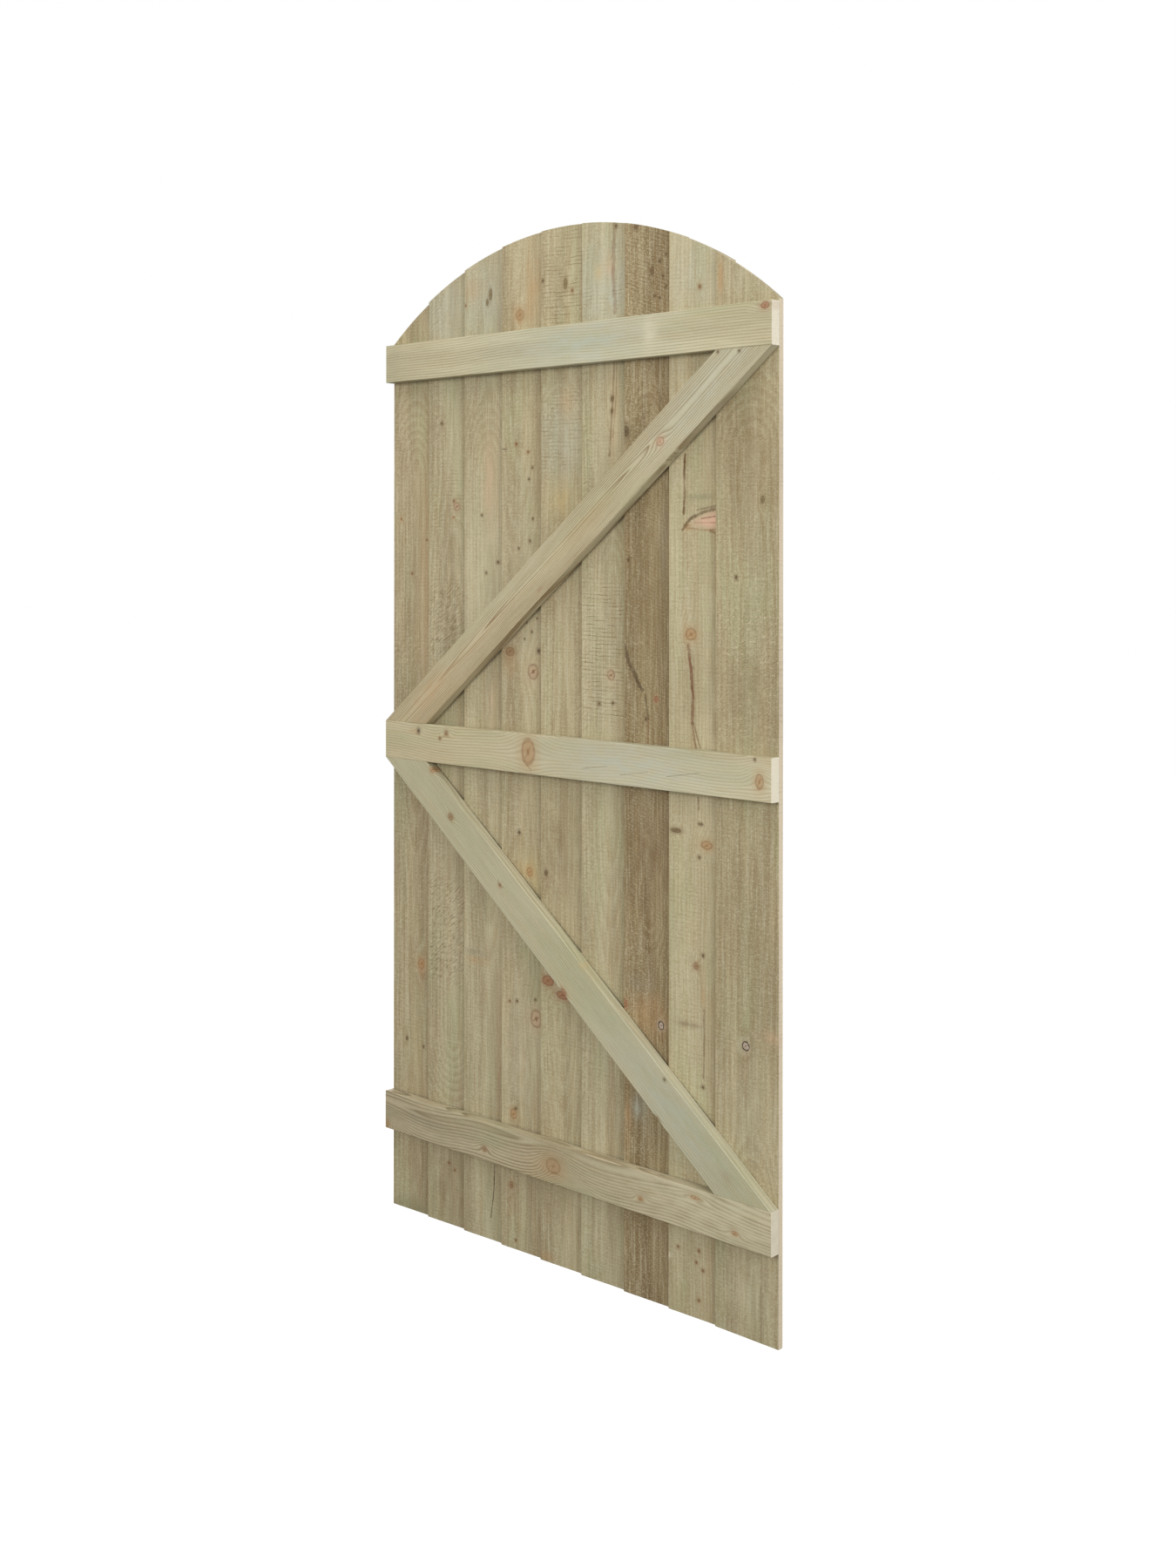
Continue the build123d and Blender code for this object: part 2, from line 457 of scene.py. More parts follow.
broad = lumps(graph, at, (46, 80, 460), 2, seed + 11.9)
colour = graph.mix(graph.ramp(broad, 0.34, 0.66), given["Pale"], given["Deep"])
tint = graph.ramp(lumps(graph, at, (60, 120, 240), 2, seed + 17.3), 0.42, 0.7) * given["Green"]
colour = graph.mix(tint, colour, given["Green tone"])
blush = graph.ramp(lumps(graph, at, (15, 30, 190), 2, seed + 19.1), 0.5, 0.76) * given["Green"] * 0.55
colour = graph.mix(blush, colour, given["Blush tone"])
colour = graph.mix(early * given["Contrast"] * 0.4, colour, light)
colour = graph.mix(late * given["Contrast"], colour, given["Late"])
fibre = lumps(graph, at, (2.4, 6, 60), 3, seed + 23.1)
grit = lumps(graph, at, (3.4, 5, 1.6), 3, seed + 27.9)
for noise, share, full in ((fibre, given["Fibre"], 0.72), (grit, given["Grit"], 0.7)):
    colour = graph.mix(graph.ramp(noise, 0.5, full) * share, colour, given["Late"])
    colour = graph.mix(graph.ramp(noise, 0.5, 0.3) * share, colour, light)
height = late * 0.05 + (fibre * given["Fibre"] + grit * given["Grit"]) * 0.6

pores = lumps(graph, at, (0.9, 0.9, 400), 2, seed + 31.7)
# End grain takes a pale tone of its own, and on boards the side edges take it too. It is set paler than the
# wood, partly a painted highlight standing in for the light on those faces.
end_highlight_colour = graph.mix(graph.ramp(pores, 0.4, 0.65) * 0.25, given["End highlight tone"], given["Late"])
colour = graph.mix(given["End and edge highlight"] * 0.9, colour, end_highlight_colour)
graph.node("NodeGroupOutput", None, {
    "Colour": colour, "Height": height, "Roughness": late * -0.08 + given["Roughness"],
    "Mottle": graph.ramp(lumps(graph, at, (14, 20, 36), 3, seed + 37.3), 0.2, 0.75, 0.35, 1.15),
    "Jitter": (lumps(graph, at, (4, 9, 8), 3, seed + 41.9) - 0.5) * 5.0,
})

# %% Level lines that the saw left
saw_group, graph, given = new_mark("saw lines", {
    **kinds(number, "Across", "Through", "Along", "Seed", "Mask", "Pitch", "Slant"), "Tone": paint})
at = (given["Across"], given["Through"], given["Along"])
loose = lumps(graph, at, (36, 60, 50), 2, given["Seed"] + 2.3)
stroke = given["Along"] + given["Across"] * given["Slant"] + loose * 6.0
turns = stroke / given["Pitch"] * (2 * math.pi)
wave = graph.maths("SINE", turns) + graph.maths("SINE", turns * 2.7 + loose * 9.0) * 0.5
broken = graph.ramp(lumps(graph, at, (34, 30, 3.2), 3, given["Seed"] + 4.9), 0.42, 0.62)
lines = graph.ramp(wave, 0.35, 1.25) * broken * given["Mask"]
ridges = graph.ramp(wave, -0.3, -1.2) * broken * given["Mask"]
colour = graph.mix(ridges * 0.22, given["Colour"], tones["pale"][0])
colour = graph.mix(lines * 0.75, colour, given["Tone"])
graph.node("NodeGroupOutput", None, {"Colour": colour, "Height": given["Height"] - lines * 0.2})

# %% Fibres that the saw lifted, in slanting dashes or in pale curls
fuzz_group, graph, given = new_mark(
    "lifted fibres", kinds(number, "Across", "Along", "Seed", "Mask", "Curls"))
lean = math.radians(36)
run = given["Across"] * math.cos(lean) + given["Along"] * math.sin(lean)
aside = given["Along"] * math.cos(lean) - given["Across"] * math.sin(lean)
hairs = graph.noise(graph.join(run / 15.0, given["Seed"], aside / 3.0 + given["Seed"]), 2, 0.55)
dashes = given["Mask"] * (1.0 - given["Curls"])
colour = graph.mix(graph.ramp(hairs, 0.52, 0.68) * dashes * 0.34, given["Colour"], tone(212, 198, 162))
colour = graph.mix(graph.ramp(hairs, 0.48, 0.32) * dashes * 0.5, colour, tone(112, 90, 56))
height = given["Height"] + (hairs - 0.5) * dashes * 2.2
curl_place = graph.join(given["Across"] / 9.0, given["Seed"] + 3.0, given["Along"] / 6.0)
curl = graph.maths("ABSOLUTE", graph.noise(curl_place, 2, 0.5) - 0.5)
rows = graph.maths("SINE", given["Along"] / 1.6 + graph.noise(curl_place, 0) * 5.0)
sparse = graph.ramp(graph.noise(graph.join(given["Across"] / 9, 7.0, given["Along"] / 7), 2), 0.36, 0.54)
curls = graph.ramp(curl, 0.06, 0.015) * graph.ramp(rows, -0.2, 0.7) * sparse * given["Mask"] * given["Curls"]
shade = graph.ramp(curl, 0.12, 0.05) * graph.ramp(rows, -0.4, 0.5) * given["Mask"] * given["Curls"]
colour = graph.mix(shade * 0.3, colour, tone(118, 98, 64))
colour = graph.mix(curls * 0.62, colour, tone(222, 210, 176))
graph.node("NodeGroupOutput", None, {"Colour": colour, "Height": height + curls * 0.35})


# %% Kinds of knot
# Each has the tones of its body and its rim, how solid the body is, and how strong the rim, the
# core and the halo are
knot_kinds = {
    "eye": (tone(182, 164, 146), tone(46, 38, 30), 0.85, 1.0, 0.35, 0.3),
    "soft": (tone(180, 152, 122), tone(120, 92, 64), 0.6, 0.55, 0.85, 0.3),
    "swirl": (tone(164, 130, 90), tone(128, 96, 60), 0.35, 0.4, 0.5, 0.35),
    "brown": (tone(146, 112, 76), tone(112, 80, 50), 0.6, 0.5, 0.5, 0.3),
    "orange": (tone(172, 134, 90), tone(130, 92, 56), 0.5, 0.5, 0.6, 0.35),
    "red": (tone(158, 110, 78), tone(116, 72, 46), 0.7, 0.6, 0.5, 0.35),
    "pink": (tone(194, 158, 128), tone(122, 88, 62), 0.65, 0.6, 0.4, 0.3),
    "black": (tone(96, 78, 54), tone(66, 52, 36), 0.6, 0.45, 0.55, 0.55),
    "dark": (tone(112, 90, 60), tone(86, 66, 42), 0.7, 0.5, 0.5, 0.4),
    "olive": (tone(122, 104, 70), tone(90, 74, 46), 0.7, 0.6, 0.5, 0.3),
}


# %% What a look has where it says nothing else
usual_look = {
    "sway": 26, "drift": 16, "wobble": 0.5, "contrast": 0.5, "fibre": 0.33, "grit": 0.4, "green": 0.45,
    "roughness": 0.82, "gloss": 0.25, "saw": 0.32, "saw_slant": 0.02, "curls": 0.0,
    "green_tone": tone(158, 162, 122), "blush_tone": tone(186, 160, 114), "saw_tone": tone(112, 94, 62),
    **dict.fromkeys(("arches", "swells", "saw_patches", "fuzz", "stains", "streaks", "knots"), ()),
}
wood_labels = (
    "Heart", "Ring", "Sway", "Drift", "Wobble", "Contrast", "Fibre", "Grit", "Roughness", "Green",
    "Pale", "Deep", "Late", "Green tone", "Blush tone", "End highlight tone")

# %% Steps of a timber's material
any_depth = 1e4
smallest_to_bend = 4


def spot_sockets(place, across, along, half_width, half_length):
    """Sockets for a spot at that place on the timber, as deep as the timber."""
    return {"Place": place, "Spot": (across, 0, along), "Size": (half_width, any_depth, half_length)}


def patches(graph, at, loose, blocks, before):
    """The strongest of several patches at each place."""
    mask = before
    for limits, share in blocks:
        mask = graph.use(patch_group, {
            "Across": at[0] + loose * 0.35, "Along": at[2] + loose, **dict(zip(patch_limits, limits)),
            "Share": share, "Before": mask})["Mask"]
    return mask


def grain_bent_by(graph, place, look):
    """How far the knots and swells of a look push its rings aside."""
    bent = {"Shift": 0.0, "Swell": 0.0}
    for across, along, half_width, half_length, _ in look["knots"]:
        if max(half_width, half_length) >= smallest_to_bend:
            reach = spot_sockets(place, across, along, half_width * 2.0, half_length * 3.0)
            bent = graph.use(bend_group, {**reach, **bent, "Push": 0.7, "Rings": 1.6})
    for *swell, rings in look["swells"]:
        bent = graph.use(bend_group, {**spot_sockets(place, *swell), **bent, "Push": 0.0, "Rings": rings})
    return bent


def heart_depth(graph, along, look):
    """How deep the heart lies behind the face, counted from where it comes nearest."""
    steps = [rings for _, _, rings in sorted(look["arches"])]
    nearest = min(sum(steps[:count]) for count in range(len(steps) + 1))
    depth = look["depth"] - nearest * look["ring"]
    for low, high, rings in look["arches"]:
        depth = graph.ramp(along, low, high, 0, rings * look["ring"]) + depth
    return depth


def faces_end_or_edge(graph, axes):
    """How squarely the surface faces one of the given axes: the end grain's, and on boards also the side
    edges'. The pale tone laid there is partly painted highlight.
    """
    normal = graph.node("ShaderNodeTexCoord", None, None, out=1)
    facing = 0.0
    for axis in axes:
        along_axis = graph.vector("DOT_PRODUCT", normal, axis, out=1)
        facing = graph.maths("MAXIMUM", graph.maths("ABSOLUTE", along_axis), facing)
    return graph.ramp(facing, 0.75, 0.93)


def link_shader(material, graph, colour, roughness, bump):
    """Links a colour, a roughness and a bump to the shader of a material."""
    shader = material.node_tree.nodes["Principled BSDF"]
    normal = graph.node("ShaderNodeBump", None, bump)
    for name, field in {"Base Color": colour, "Roughness": roughness, "Normal": normal}.items():
        graph.tree.links.new(field.socket, shader.inputs[name])
    return shader


# %% One timber's material
saw_pitch = 6.5
smallest_with_rings = 5
far_away = 1e3


def wood_material(name, at, look):
    """A material for one timber. The function at gives its place across, through and along."""
    look = {**usual_look, **look}
    material, graph = new_material(name)
    object_place = graph.node("ShaderNodeTexCoord", None, None, out=3)
    x, y, z = graph.parts(graph.vector("MULTIPLY", object_place, (1000, 1000, 1000)))
    timber_place = at(x, y, z)
    across, through, along = timber_place
    at_place = {"Across": across, "Through": through, "Along": along}
    place = graph.join(across, 0, along)
    seed = look["seed"]
    bent = grain_bent_by(graph, place, look)
    so_far = graph.use(wood_group, {
        **at_place, **{label: look[label.lower().replace(" ", "_")] for label in wood_labels},
        "Bent": across - bent["Shift"], "Swell": bent["Swell"], "Seed": seed * 7.31,
        "Depth": heart_depth(graph, along, look), "End and edge highlight": faces_end_or_edge(graph, look["end_and_edge_axes"])})

    def lay(mark, sockets):
        """Lays one more mark over the colour and the height so far."""
        under = {label: so_far[label] for label in surface}
        so_far.update(graph.use(mark, {**sockets, **under}))

    loose = (lumps(graph, timber_place, (18, 30, 40), 3, seed + 0.7) - 0.5) * 60
    if look["saw"]:
        field = lumps(graph, timber_place, (120, 120, 160), 2, seed + 1.3)
        mask = graph.ramp(field, 0.25, 0.6, 0.25, 1.0) * look["saw"]
        mask = patches(graph, timber_place, loose, look["saw_patches"], mask)
        lay(saw_group, {
            **at_place, "Seed": seed, "Mask": mask, "Pitch": saw_pitch, "Slant": look["saw_slant"],
            "Tone": look["saw_tone"]})
    if look["fuzz"]:
        mask = patches(graph, timber_place, loose, look["fuzz"], 0.0)
        lay(fuzz_group, {
            "Across": across, "Along": along, "Seed": seed, "Mask": mask, "Curls": look["curls"]})
    for *stain, tone_name, share in look["stains"]:
        so_far.update(graph.use(stain_group, {
            **spot_sockets(place, *stain), "Share": share, "Mottle": so_far["Mottle"],
            "Tone": tones[tone_name][0], "Colour": so_far["Colour"]}))
    for points, width, tone_name, share in look["streaks"]:
        gap = far_away
        for (side, end), (next_side, next_end) in zip(points, points[1:]):
            span = (next_side - side, 0, next_end - end)
            gap = graph.use(stretch_group, {
                "Place": place, "Start": (side, 0, end), "Span": span,
                "Squared": span[0] ** 2 + span[2] ** 2, "Before": gap})["Gap"]
        lay(crack_group, {
            "Gap": gap + so_far["Jitter"] * (width / 3.8), "Width": width,
            "Share": so_far["Mottle"] * share, "Tone": tones[tone_name][1]})
    for *knot, kind in look["knots"]:
        body, rim, solid, edge, core, halo = knot_kinds[kind]
        sockets = {**spot_sockets(place, *knot), "Jitter": so_far["Jitter"], "Body": body, "Rim": rim}
        if max(knot[2:]) >= smallest_with_rings:
            lay(knot_group, {**sockets, "Halo": halo, "Solid": solid, "Edge": edge, "Core": core})
        else:
            lay(dot_group, sockets)

    bump = {"Strength": 1.0, "Distance": 0.001, "Height": so_far["Height"]}
    shader = link_shader(material, graph, so_far["Colour"], so_far["Roughness"], bump)
    shader.inputs["Specular IOR Level"].default_value = look["gloss"]
    return material


# %% [markdown]
# The boards are feather edge: sawn from one plank on a slant, so that one long edge is thin and
# the other thick. They could be drawn one by one, but they all follow one rule, so one shape
# tree makes them. It starts from a block cut into a fine grid and moves each point: across to
# the board's width, up to the arch above that point, and through to the slanted section. The
# rough face is part of the shape too. It is only ever cut into the wood, never added, so that
# the boards still lap.

# %% Board sizes, from the frame
board_names = [f"board_{number}" for number in range(1, 10)]
thick_edge = 11.0 * mm
thin_edge = 3.0 * mm
arch_rise = 170.0 * mm

half_width = cad_box[1].x
gate_height = cad_box[1].z
arch_radius = (half_width ** 2 + arch_rise ** 2) / (2 * arch_rise)
arch_centre = gate_height - arch_radius
print("arch radius", round(arch_radius / mm, 1), "mm")


# %% From a tree to a finished piece
def finish_tree(graph, geometry, material):
    """Ends a tree in plain mesh with its material."""
    whole = graph.node("GeometryNodeRealizeInstances", None, {0: geometry})
    painted = graph.node("GeometryNodeSetMaterial", None, {"Geometry": whole, "Material": material})
    graph.node("NodeGroupOutput", None, {0: painted})


def grow(name, tree, values, start=None):
    """Runs a tree with those values on a starting mesh, and returns the object that carries it."""
    holder = bpy.data.objects.new(f"{name} start", start or bpy.data.meshes.new(f"{name} start"))
    bpy.context.scene.collection.objects.link(holder)
    modifier = holder.modifiers.new("shape", "NODES")
    modifier.node_group = tree
    for item in tree.interface.items_tree:
        if item.in_out == "INPUT" and item.name in values:
            modifier[item.identifier] = values[item.name]
    return holder


def ease(holder, width, segments, limit):
    """Eases the edges of a shape that is still being made, by their angle or their weight."""
    modifier = holder.modifiers.new("eased edges", "BEVEL")
    modifier.width = width
    modifier.segments = segments
    modifier.limit_method = limit
    modifier.angle_limit = math.radians(50)
    modifier.harden_normals = False


def settle(name, holder):
    """The holder's evaluated shape as a finished piece, with its modifiers gone."""
    shape = holder.evaluated_get(bpy.context.evaluated_depsgraph_get())
    mesh = bpy.data.meshes.new_from_object(shape)
    bpy.data.objects.remove(holder)
    piece = bpy.data.objects.new(name, mesh)
    mesh.name = name
    bpy.context.scene.collection.objects.link(piece)
    return piece


def hand_over(node, holder):
    """Finishes a shape and puts it in the place of its node."""
    piece = settle(f"dressed_{node}", holder)
    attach(piece, "root")
    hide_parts(node)
    print(node, len(piece.data.polygons), "faces")
    return piece


# %% The board tree
plain_geometry = {"Geometry": "NodeSocketGeometry"}
board_tree, shape, given = new_tree("tapered board", "GeometryNodeTree", {
    "Left": number, "Width": number, "Plane": number, "Lift": number,
    "Thin edge": number, "Thick edge": number, "Arch radius": number, "Arch centre": number,
    "Relief": number, "Seed": number, "Material": "NodeSocketMaterial",
}, plain_geometry)
board_grid = {"Vertices X": 33, "Vertices Y": 3, "Vertices Z": 401}
block = shape.node("GeometryNodeMeshCube", None, board_grid)
u, v, w = shape.parts(shape.node("GeometryNodeInputPosition"))
u = u + 0.5
v = v + 0.5
w = w + 0.5
x = given["Left"] + u * given["Width"]
top = given["Arch centre"] + shape.maths("SQRT", given["Arch radius"] * given["Arch radius"] - x * x)
z = w * top
seed = given["Seed"]
back_noise = shape.noise(shape.join(x / 0.012 + seed, seed, z / 0.035), 3)
front_noise = shape.noise(shape.join(x / 0.012 + seed, seed + 9.0, z / 0.035), 3)
side_noise = shape.noise(shape.join(seed + u * 3.0, 5.0, z / 0.025), 3)
end_noise = shape.noise(shape.join(x / 0.006, seed, w * 7.0), 2)
relief = given["Relief"]
back = given["Plane"] + given["Lift"] * u + back_noise * relief
front_rise = given["Lift"] + given["Thick edge"] - given["Thin edge"]
front = given["Plane"] + given["Thin edge"] + front_rise * u - front_noise * relief
y = back + (front - back) * v
inwards = (0.5 - u) * 2.0
x = x + inwards * side_noise * relief
z = z + (0.5 - w) * end_noise * relief * 2.0
moved = shape.node("GeometryNodeSetPosition", None, {"Geometry": block, "Position": shape.join(x, y, z)})
finish_tree(shape, moved, given["Material"])
print("board tree", len(board_tree.nodes), "nodes")

# %% [markdown]
# Each board has its own look, because each came from another part of a tree. The lists give the
# places of its knots, stains, cracks and rough patches, in millimetres from the gate's left side
# and from its feet, as seen from the side of the rails. Arches say between which heights the
# rings close, and how many of them. A plus sign closes them at the top, a minus sign below.

# %% Looks of the boards
board_looks = {
    "board_9": {
        "heart": 62, "depth": 14, "ring": 8.0, "contrast": 0.34, "sway": 10, "wobble": 0.3,
        "pale": tone(171, 156, 123), "deep": tone(145, 130, 99), "late": tone(136, 114, 78), "curls": 0.6,
        "arches": [(1385, 1550, 7), (600, 900, -3)],
        "fuzz": [
            ((0, 97, 1380, 1530), 0.5), ((0, 97, 1010, 1070), 0.9), ((0, 97, 1240, 1350), 0.35),
            ((0, 97, 940, 1000), 0.35), ((30, 95, 300, 420), 0.3), ((0, 97, 430, 800), 0.5)],
        "knots": [
            (20, 1299, 3, 4, "orange"), (88, 1259, 3, 2, "brown"), (49, 1196, 3, 3, "brown"),
            (74, 466, 8, 10, "orange"), (36, 320, 3, 4, "dark"), (80, 312, 2.5, 3, "dark")],
        "stains": [
            (86, 1225, 14, 230, "orange", 0.3), (74, 450, 7, 30, "red", 0.35),
            (45, 4, 60, 16, "green", 0.7)]},
    "board_8": {
        "heart": 163, "depth": 12, "ring": 8.5, "contrast": 0.33, "sway": 10, "wobble": 0.25,
        "pale": tone(177, 165, 133), "deep": tone(151, 138, 108), "late": tone(138, 118, 82),
        "arches": [(205, 345, -7), (1000, 1400, 4)],
        "fuzz": [
            ((97, 145, 1640, 1720), 0.5), ((97, 145, 1440, 1510), 0.4), ((97, 145, 1280, 1350), 0.4),
            ((97, 194, 1040, 1180), 1.0), ((97, 194, 440, 640), 1.0)],
        "saw_patches": [((97, 194, 1270, 1410), 0.4)],
        "knots": [
            (131, 1474, 3, 3.5, "dark"), (170, 1320, 7, 8, "soft"), (162, 1330, 3, 3, "brown"),
            (162, 1300, 3, 2, "orange"), (151, 112, 3, 3, "brown"), (166, 102, 2.5, 3, "brown")],
        "streaks": [
            ([(130, 338), (185, 338)], 1.6, "pale", 0.5), ([(120, 288), (175, 288)], 1.6, "pale", 0.4),
            ([(193, 488), (194, 445)], 2.4, "black", 0.8)],
        "stains": [(145, 70, 60, 90, "umber", 0.42), (145, 1680, 60, 90, "blue", 0.35)]},
    "board_7": {
        "heart": 257, "depth": 12, "ring": 8.0, "contrast": 0.3, "sway": 10, "pale": tone(182, 172, 139),
        "deep": tone(156, 144, 113), "late": tone(146, 124, 88), "green": 0.3,
        "arches": [(1375, 1540, 6), (420, 700, -3)],
        "knots": [
            (196, 1685, 2.5, 3, "brown"), (258, 1700, 4, 10, "olive"), (250, 1686, 3, 6, "olive"),
            (237, 1303, 2.5, 2.5, "dark"), (277, 1218, 4, 3, "dark"), (248, 1199, 2.5, 2.5, "dark")],
        "stains": [
            (242, 1200, 60, 160, "light", 0.3), (242, 1680, 60, 90, "blue", 0.35),
            (212, 1710, 26, 22, "orange", 0.3), (255, 1370, 16, 90, "pink", 0.4),
            (262, 955, 10, 40, "pink", 0.25), (222, 511, 28, 7, "grey", 0.5),
            (222, 497, 28, 7, "orange", 0.4), (280, 355, 6, 120, "red", 0.3)],
        "streaks": [
            ([(270, 138), (268, 90), (261, 40)], 2.4, "dark", 0.85),
            ([(262, 800), (290, 802)], 1.5, "pale", 0.4)]},
    "board_6": {
        "heart": 330, "depth": 18, "ring": 7.5, "contrast": 0.28, "pale": tone(177, 165, 131),
        "deep": tone(150, 136, 105), "late": tone(142, 118, 80), "curls": 0.5,
        "arches": [(560, 760, 4), (1100, 1500, -5)],
        "fuzz": [((345, 387, 1220, 1560), 0.6), ((345, 387, 1640, 1760), 0.4)],
        "knots": [
            (333, 1656, 9, 10, "swirl"), (325, 1428, 3.5, 3.5, "brown"), (353, 1413, 3.5, 3, "brown"),
            (355, 1365, 2.5, 2.5, "dark"), (363, 1385, 2.5, 2.5, "dark"), (364, 1295, 2.5, 2.5, "dark"),
            (357, 1256, 2.5, 2.5, "dark"), (331, 1243, 2.5, 2.5, "dark"), (310, 1060, 11, 8, "brown"),
            (378, 1063, 4, 4, "black"), (350, 1112, 2, 2, "dark"), (362, 1096, 2, 2.5, "dark"),
            (345, 1083, 2, 2, "dark"), (374, 1120, 2, 2, "dark"), (365, 1026, 12, 14, "soft"),
            (333, 740, 3, 3.5, "black"), (357, 673, 7, 8, "orange"), (373, 417, 13, 16, "soft"),
            (328, 441, 3, 3, "dark"), (371, 450, 3, 2.5, "dark"), (310, 438, 3, 3, "brown"),
            (320, 239, 8, 9, "orange"), (325, 250, 3, 3, "dark"), (315, 112, 4.5, 6, "brown"),
            (325, 16, 3, 3, "brown")],
        "stains": [
            (339, 1200, 60, 160, "light", 0.28), (339, 335, 60, 120, "light", 0.3),
            (365, 1700, 18, 60, "orange", 0.4), (372, 1370, 13, 190, "olive", 0.42),
            (312, 1040, 14, 22, "orange", 0.4), (357, 672, 26, 30, "yellow", 0.4),
            (315, 95, 6, 26, "red", 0.3), (331, 1655, 18, 22, "orange", 0.35)],
        "streaks": [([(290, 1420), (305, 1419)], 2.0, "dark", 0.6)]},
    "board_5": {
        "heart": 438, "depth": 14, "ring": 7.5, "contrast": 0.28, "pale": tone(178, 167, 133),
        "deep": tone(152, 139, 107), "late": tone(146, 120, 84), "green": 0.3,
        "arches": [(1440, 1540, 6), (200, 420, -3)],
        "saw_patches": [((387, 484, 1560, 1790), 0.85), ((387, 484, 1380, 1520), 0.8)],
        "fuzz": [((462, 484, 900, 1700), 0.5)],
        "knots": [
            (443, 1700, 4, 9, "olive"), (458, 1687, 3, 4, "brown"), (391, 1710, 3, 3, "dark"),
            (400, 677, 4, 5, "dark"), (405, 490, 13, 9, "red"), (438, 470, 14, 7, "red")],
        "stains": [
            (436, 730, 60, 100, "umber", 0.38), (436, 1430, 50, 80, "blue", 0.3),
            (445, 1495, 16, 24, "orange", 0.35), (432, 1325, 40, 34, "yellow", 0.4),
            (402, 10, 18, 8, "orange", 0.5), (401, 660, 4, 18, "brown", 0.5)],
        "streaks": [([(415, 1180), (416, 1050), (414, 920)], 1.8, "brown", 0.5)]},
    "board_4": {
        "heart": 548, "depth": 14, "ring": 7.0, "contrast": 0.3, "pale": tone(181, 172, 139),
        "deep": tone(155, 144, 113), "late": tone(148, 126, 90),
        "arches": [(1180, 1330, 4), (500, 800, -4)],
        "saw_patches": [((484, 581, 1640, 1700), 0.75), ((484, 581, 950, 1190), 0.9)],
        "fuzz": [((484, 502, 300, 1600), 0.45)],
        "knots": [
            (559, 1785, 3, 3.5, "dark"), (551, 1495, 3.5, 5, "dark"), (550, 1474, 3, 4, "dark"),
            (549, 1029, 8, 9, "soft"), (523, 979, 3, 3, "dark"), (553, 982, 3, 3, "dark")],
        "stains": [
            (533, 1680, 60, 80, "blue", 0.45), (553, 1480, 7, 90, "orange", 0.3),
            (545, 1720, 15, 20, "pink", 0.45), (520, 1710, 10, 14, "yellow", 0.45),
            (549, 1660, 10, 8, "blue", 0.45)],
        "streaks": [
            ([(556, 1790), (553, 1715), (557, 1640)], 7.0, "red", 0.45),
            ([(555, 1560), (553, 1500), (548, 1450), (545, 1400)], 3.6, "brown", 0.6),
            ([(560, 1560), (559, 1500), (553, 1430)], 2.4, "brown", 0.45)]},
    "board_3": {
        "heart": 632, "depth": 13, "ring": 6.5, "contrast": 0.28, "pale": tone(153, 135, 99),
        "deep": tone(121, 101, 68), "late": tone(112, 90, 58), "green": 0.35,
        "green_tone": tone(138, 126, 90), "saw_tone": tone(98, 80, 50), "saw_slant": 0.35,
        "arches": [(1440, 1530, 4), (560, 640, -3)],
        "saw_patches": [((581, 678, 1560, 1800), 0.7), ((581, 678, 700, 1400), 0.45)],
        "knots": [
            (639, 1701, 4, 7, "dark"), (645, 1659, 3, 3, "dark"), (655, 1655, 2.5, 3, "dark"),
            (662, 1690, 2.5, 3, "dark"), (668, 1672, 2.5, 3, "dark"), (655, 1715, 2.5, 3, "dark"),
            (668, 1725, 2.5, 3, "dark"), (605, 1778, 5, 5, "dark"), (584, 1438, 6, 8, "black"),
            (648, 994, 4, 5, "red"), (627, 960, 3, 4, "dark"), (590, 1223, 3, 4, "dark"),
            (659, 458, 6, 7, "eye"), (582, 482, 6, 7, "red"), (666, 1410, 3, 3, "dark")],
        "stains": [
            (630, 730, 60, 100, "dark", 0.5), (630, 1190, 60, 150, "umber", 0.45),
            (665, 1250, 10, 55, "grey", 0.45), (635, 470, 36, 34, "orange", 0.45),
            (615, 520, 26, 14, "grey", 0.4), (612, 315, 14, 20, "blue", 0.5),
            (590, 295, 7, 50, "orange", 0.4), (645, 1490, 28, 14, "dark", 0.3),
            (628, 1010, 40, 200, "olive", 0.22)],
        "streaks": [
            ([(581, 1080), (590, 1055), (610, 1020), (618, 1008)], 6.5, "black", 0.7),
            ([(625, 1000), (632, 960)], 3.5, "black", 0.7), ([(632, 960), (631, 920)], 2.5, "red", 0.6),
            ([(661, 448), (662, 430)], 2.2, "red", 0.7)]},
    "board_2": {
        "heart": 640, "depth": 60, "ring": 6.0, "contrast": 0.34, "sway": 14, "pale": tone(188, 178, 144),
        "deep": tone(164, 152, 119), "late": tone(158, 136, 100),
        "knots": [
            (740, 1664, 3.5, 4, "brown"), (723, 1103, 11, 10, "orange"), (693, 783, 10, 4, "dark"),
            (740, 798, 2.5, 2.5, "dark"), (745, 798, 2.5, 2.5, "dark"), (755, 765, 11, 7, "orange"),
            (740, 744, 3, 3, "dark"), (734, 568, 5.5, 6, "brown"), (748, 587, 3, 3, "dark"),
            (748, 375, 3, 3, "dark"), (698, 106, 3, 3, "brown"), (740, 110, 3, 3, "brown"),
            (735, 90, 2.5, 3, "brown"), (748, 80, 3, 3, "brown"), (740, 30, 3, 3, "brown")],
        "stains": [
            (727, 1015, 60, 80, "umber", 0.25), (727, 1680, 60, 80, "blue", 0.25),
            (741, 1325, 34, 5, "green", 0.6), (748, 530, 4, 30, "orange", 0.5),
            (720, 471, 26, 5, "dark", 0.5), (678, 88, 5, 5, "pale", 0.8), (752, 1285, 20, 9, "rose", 1.1),
            (768, 1290, 16, 14, "rose", 0.9), (716, 1278, 8, 9, "orange", 0.5)],
        "streaks": [
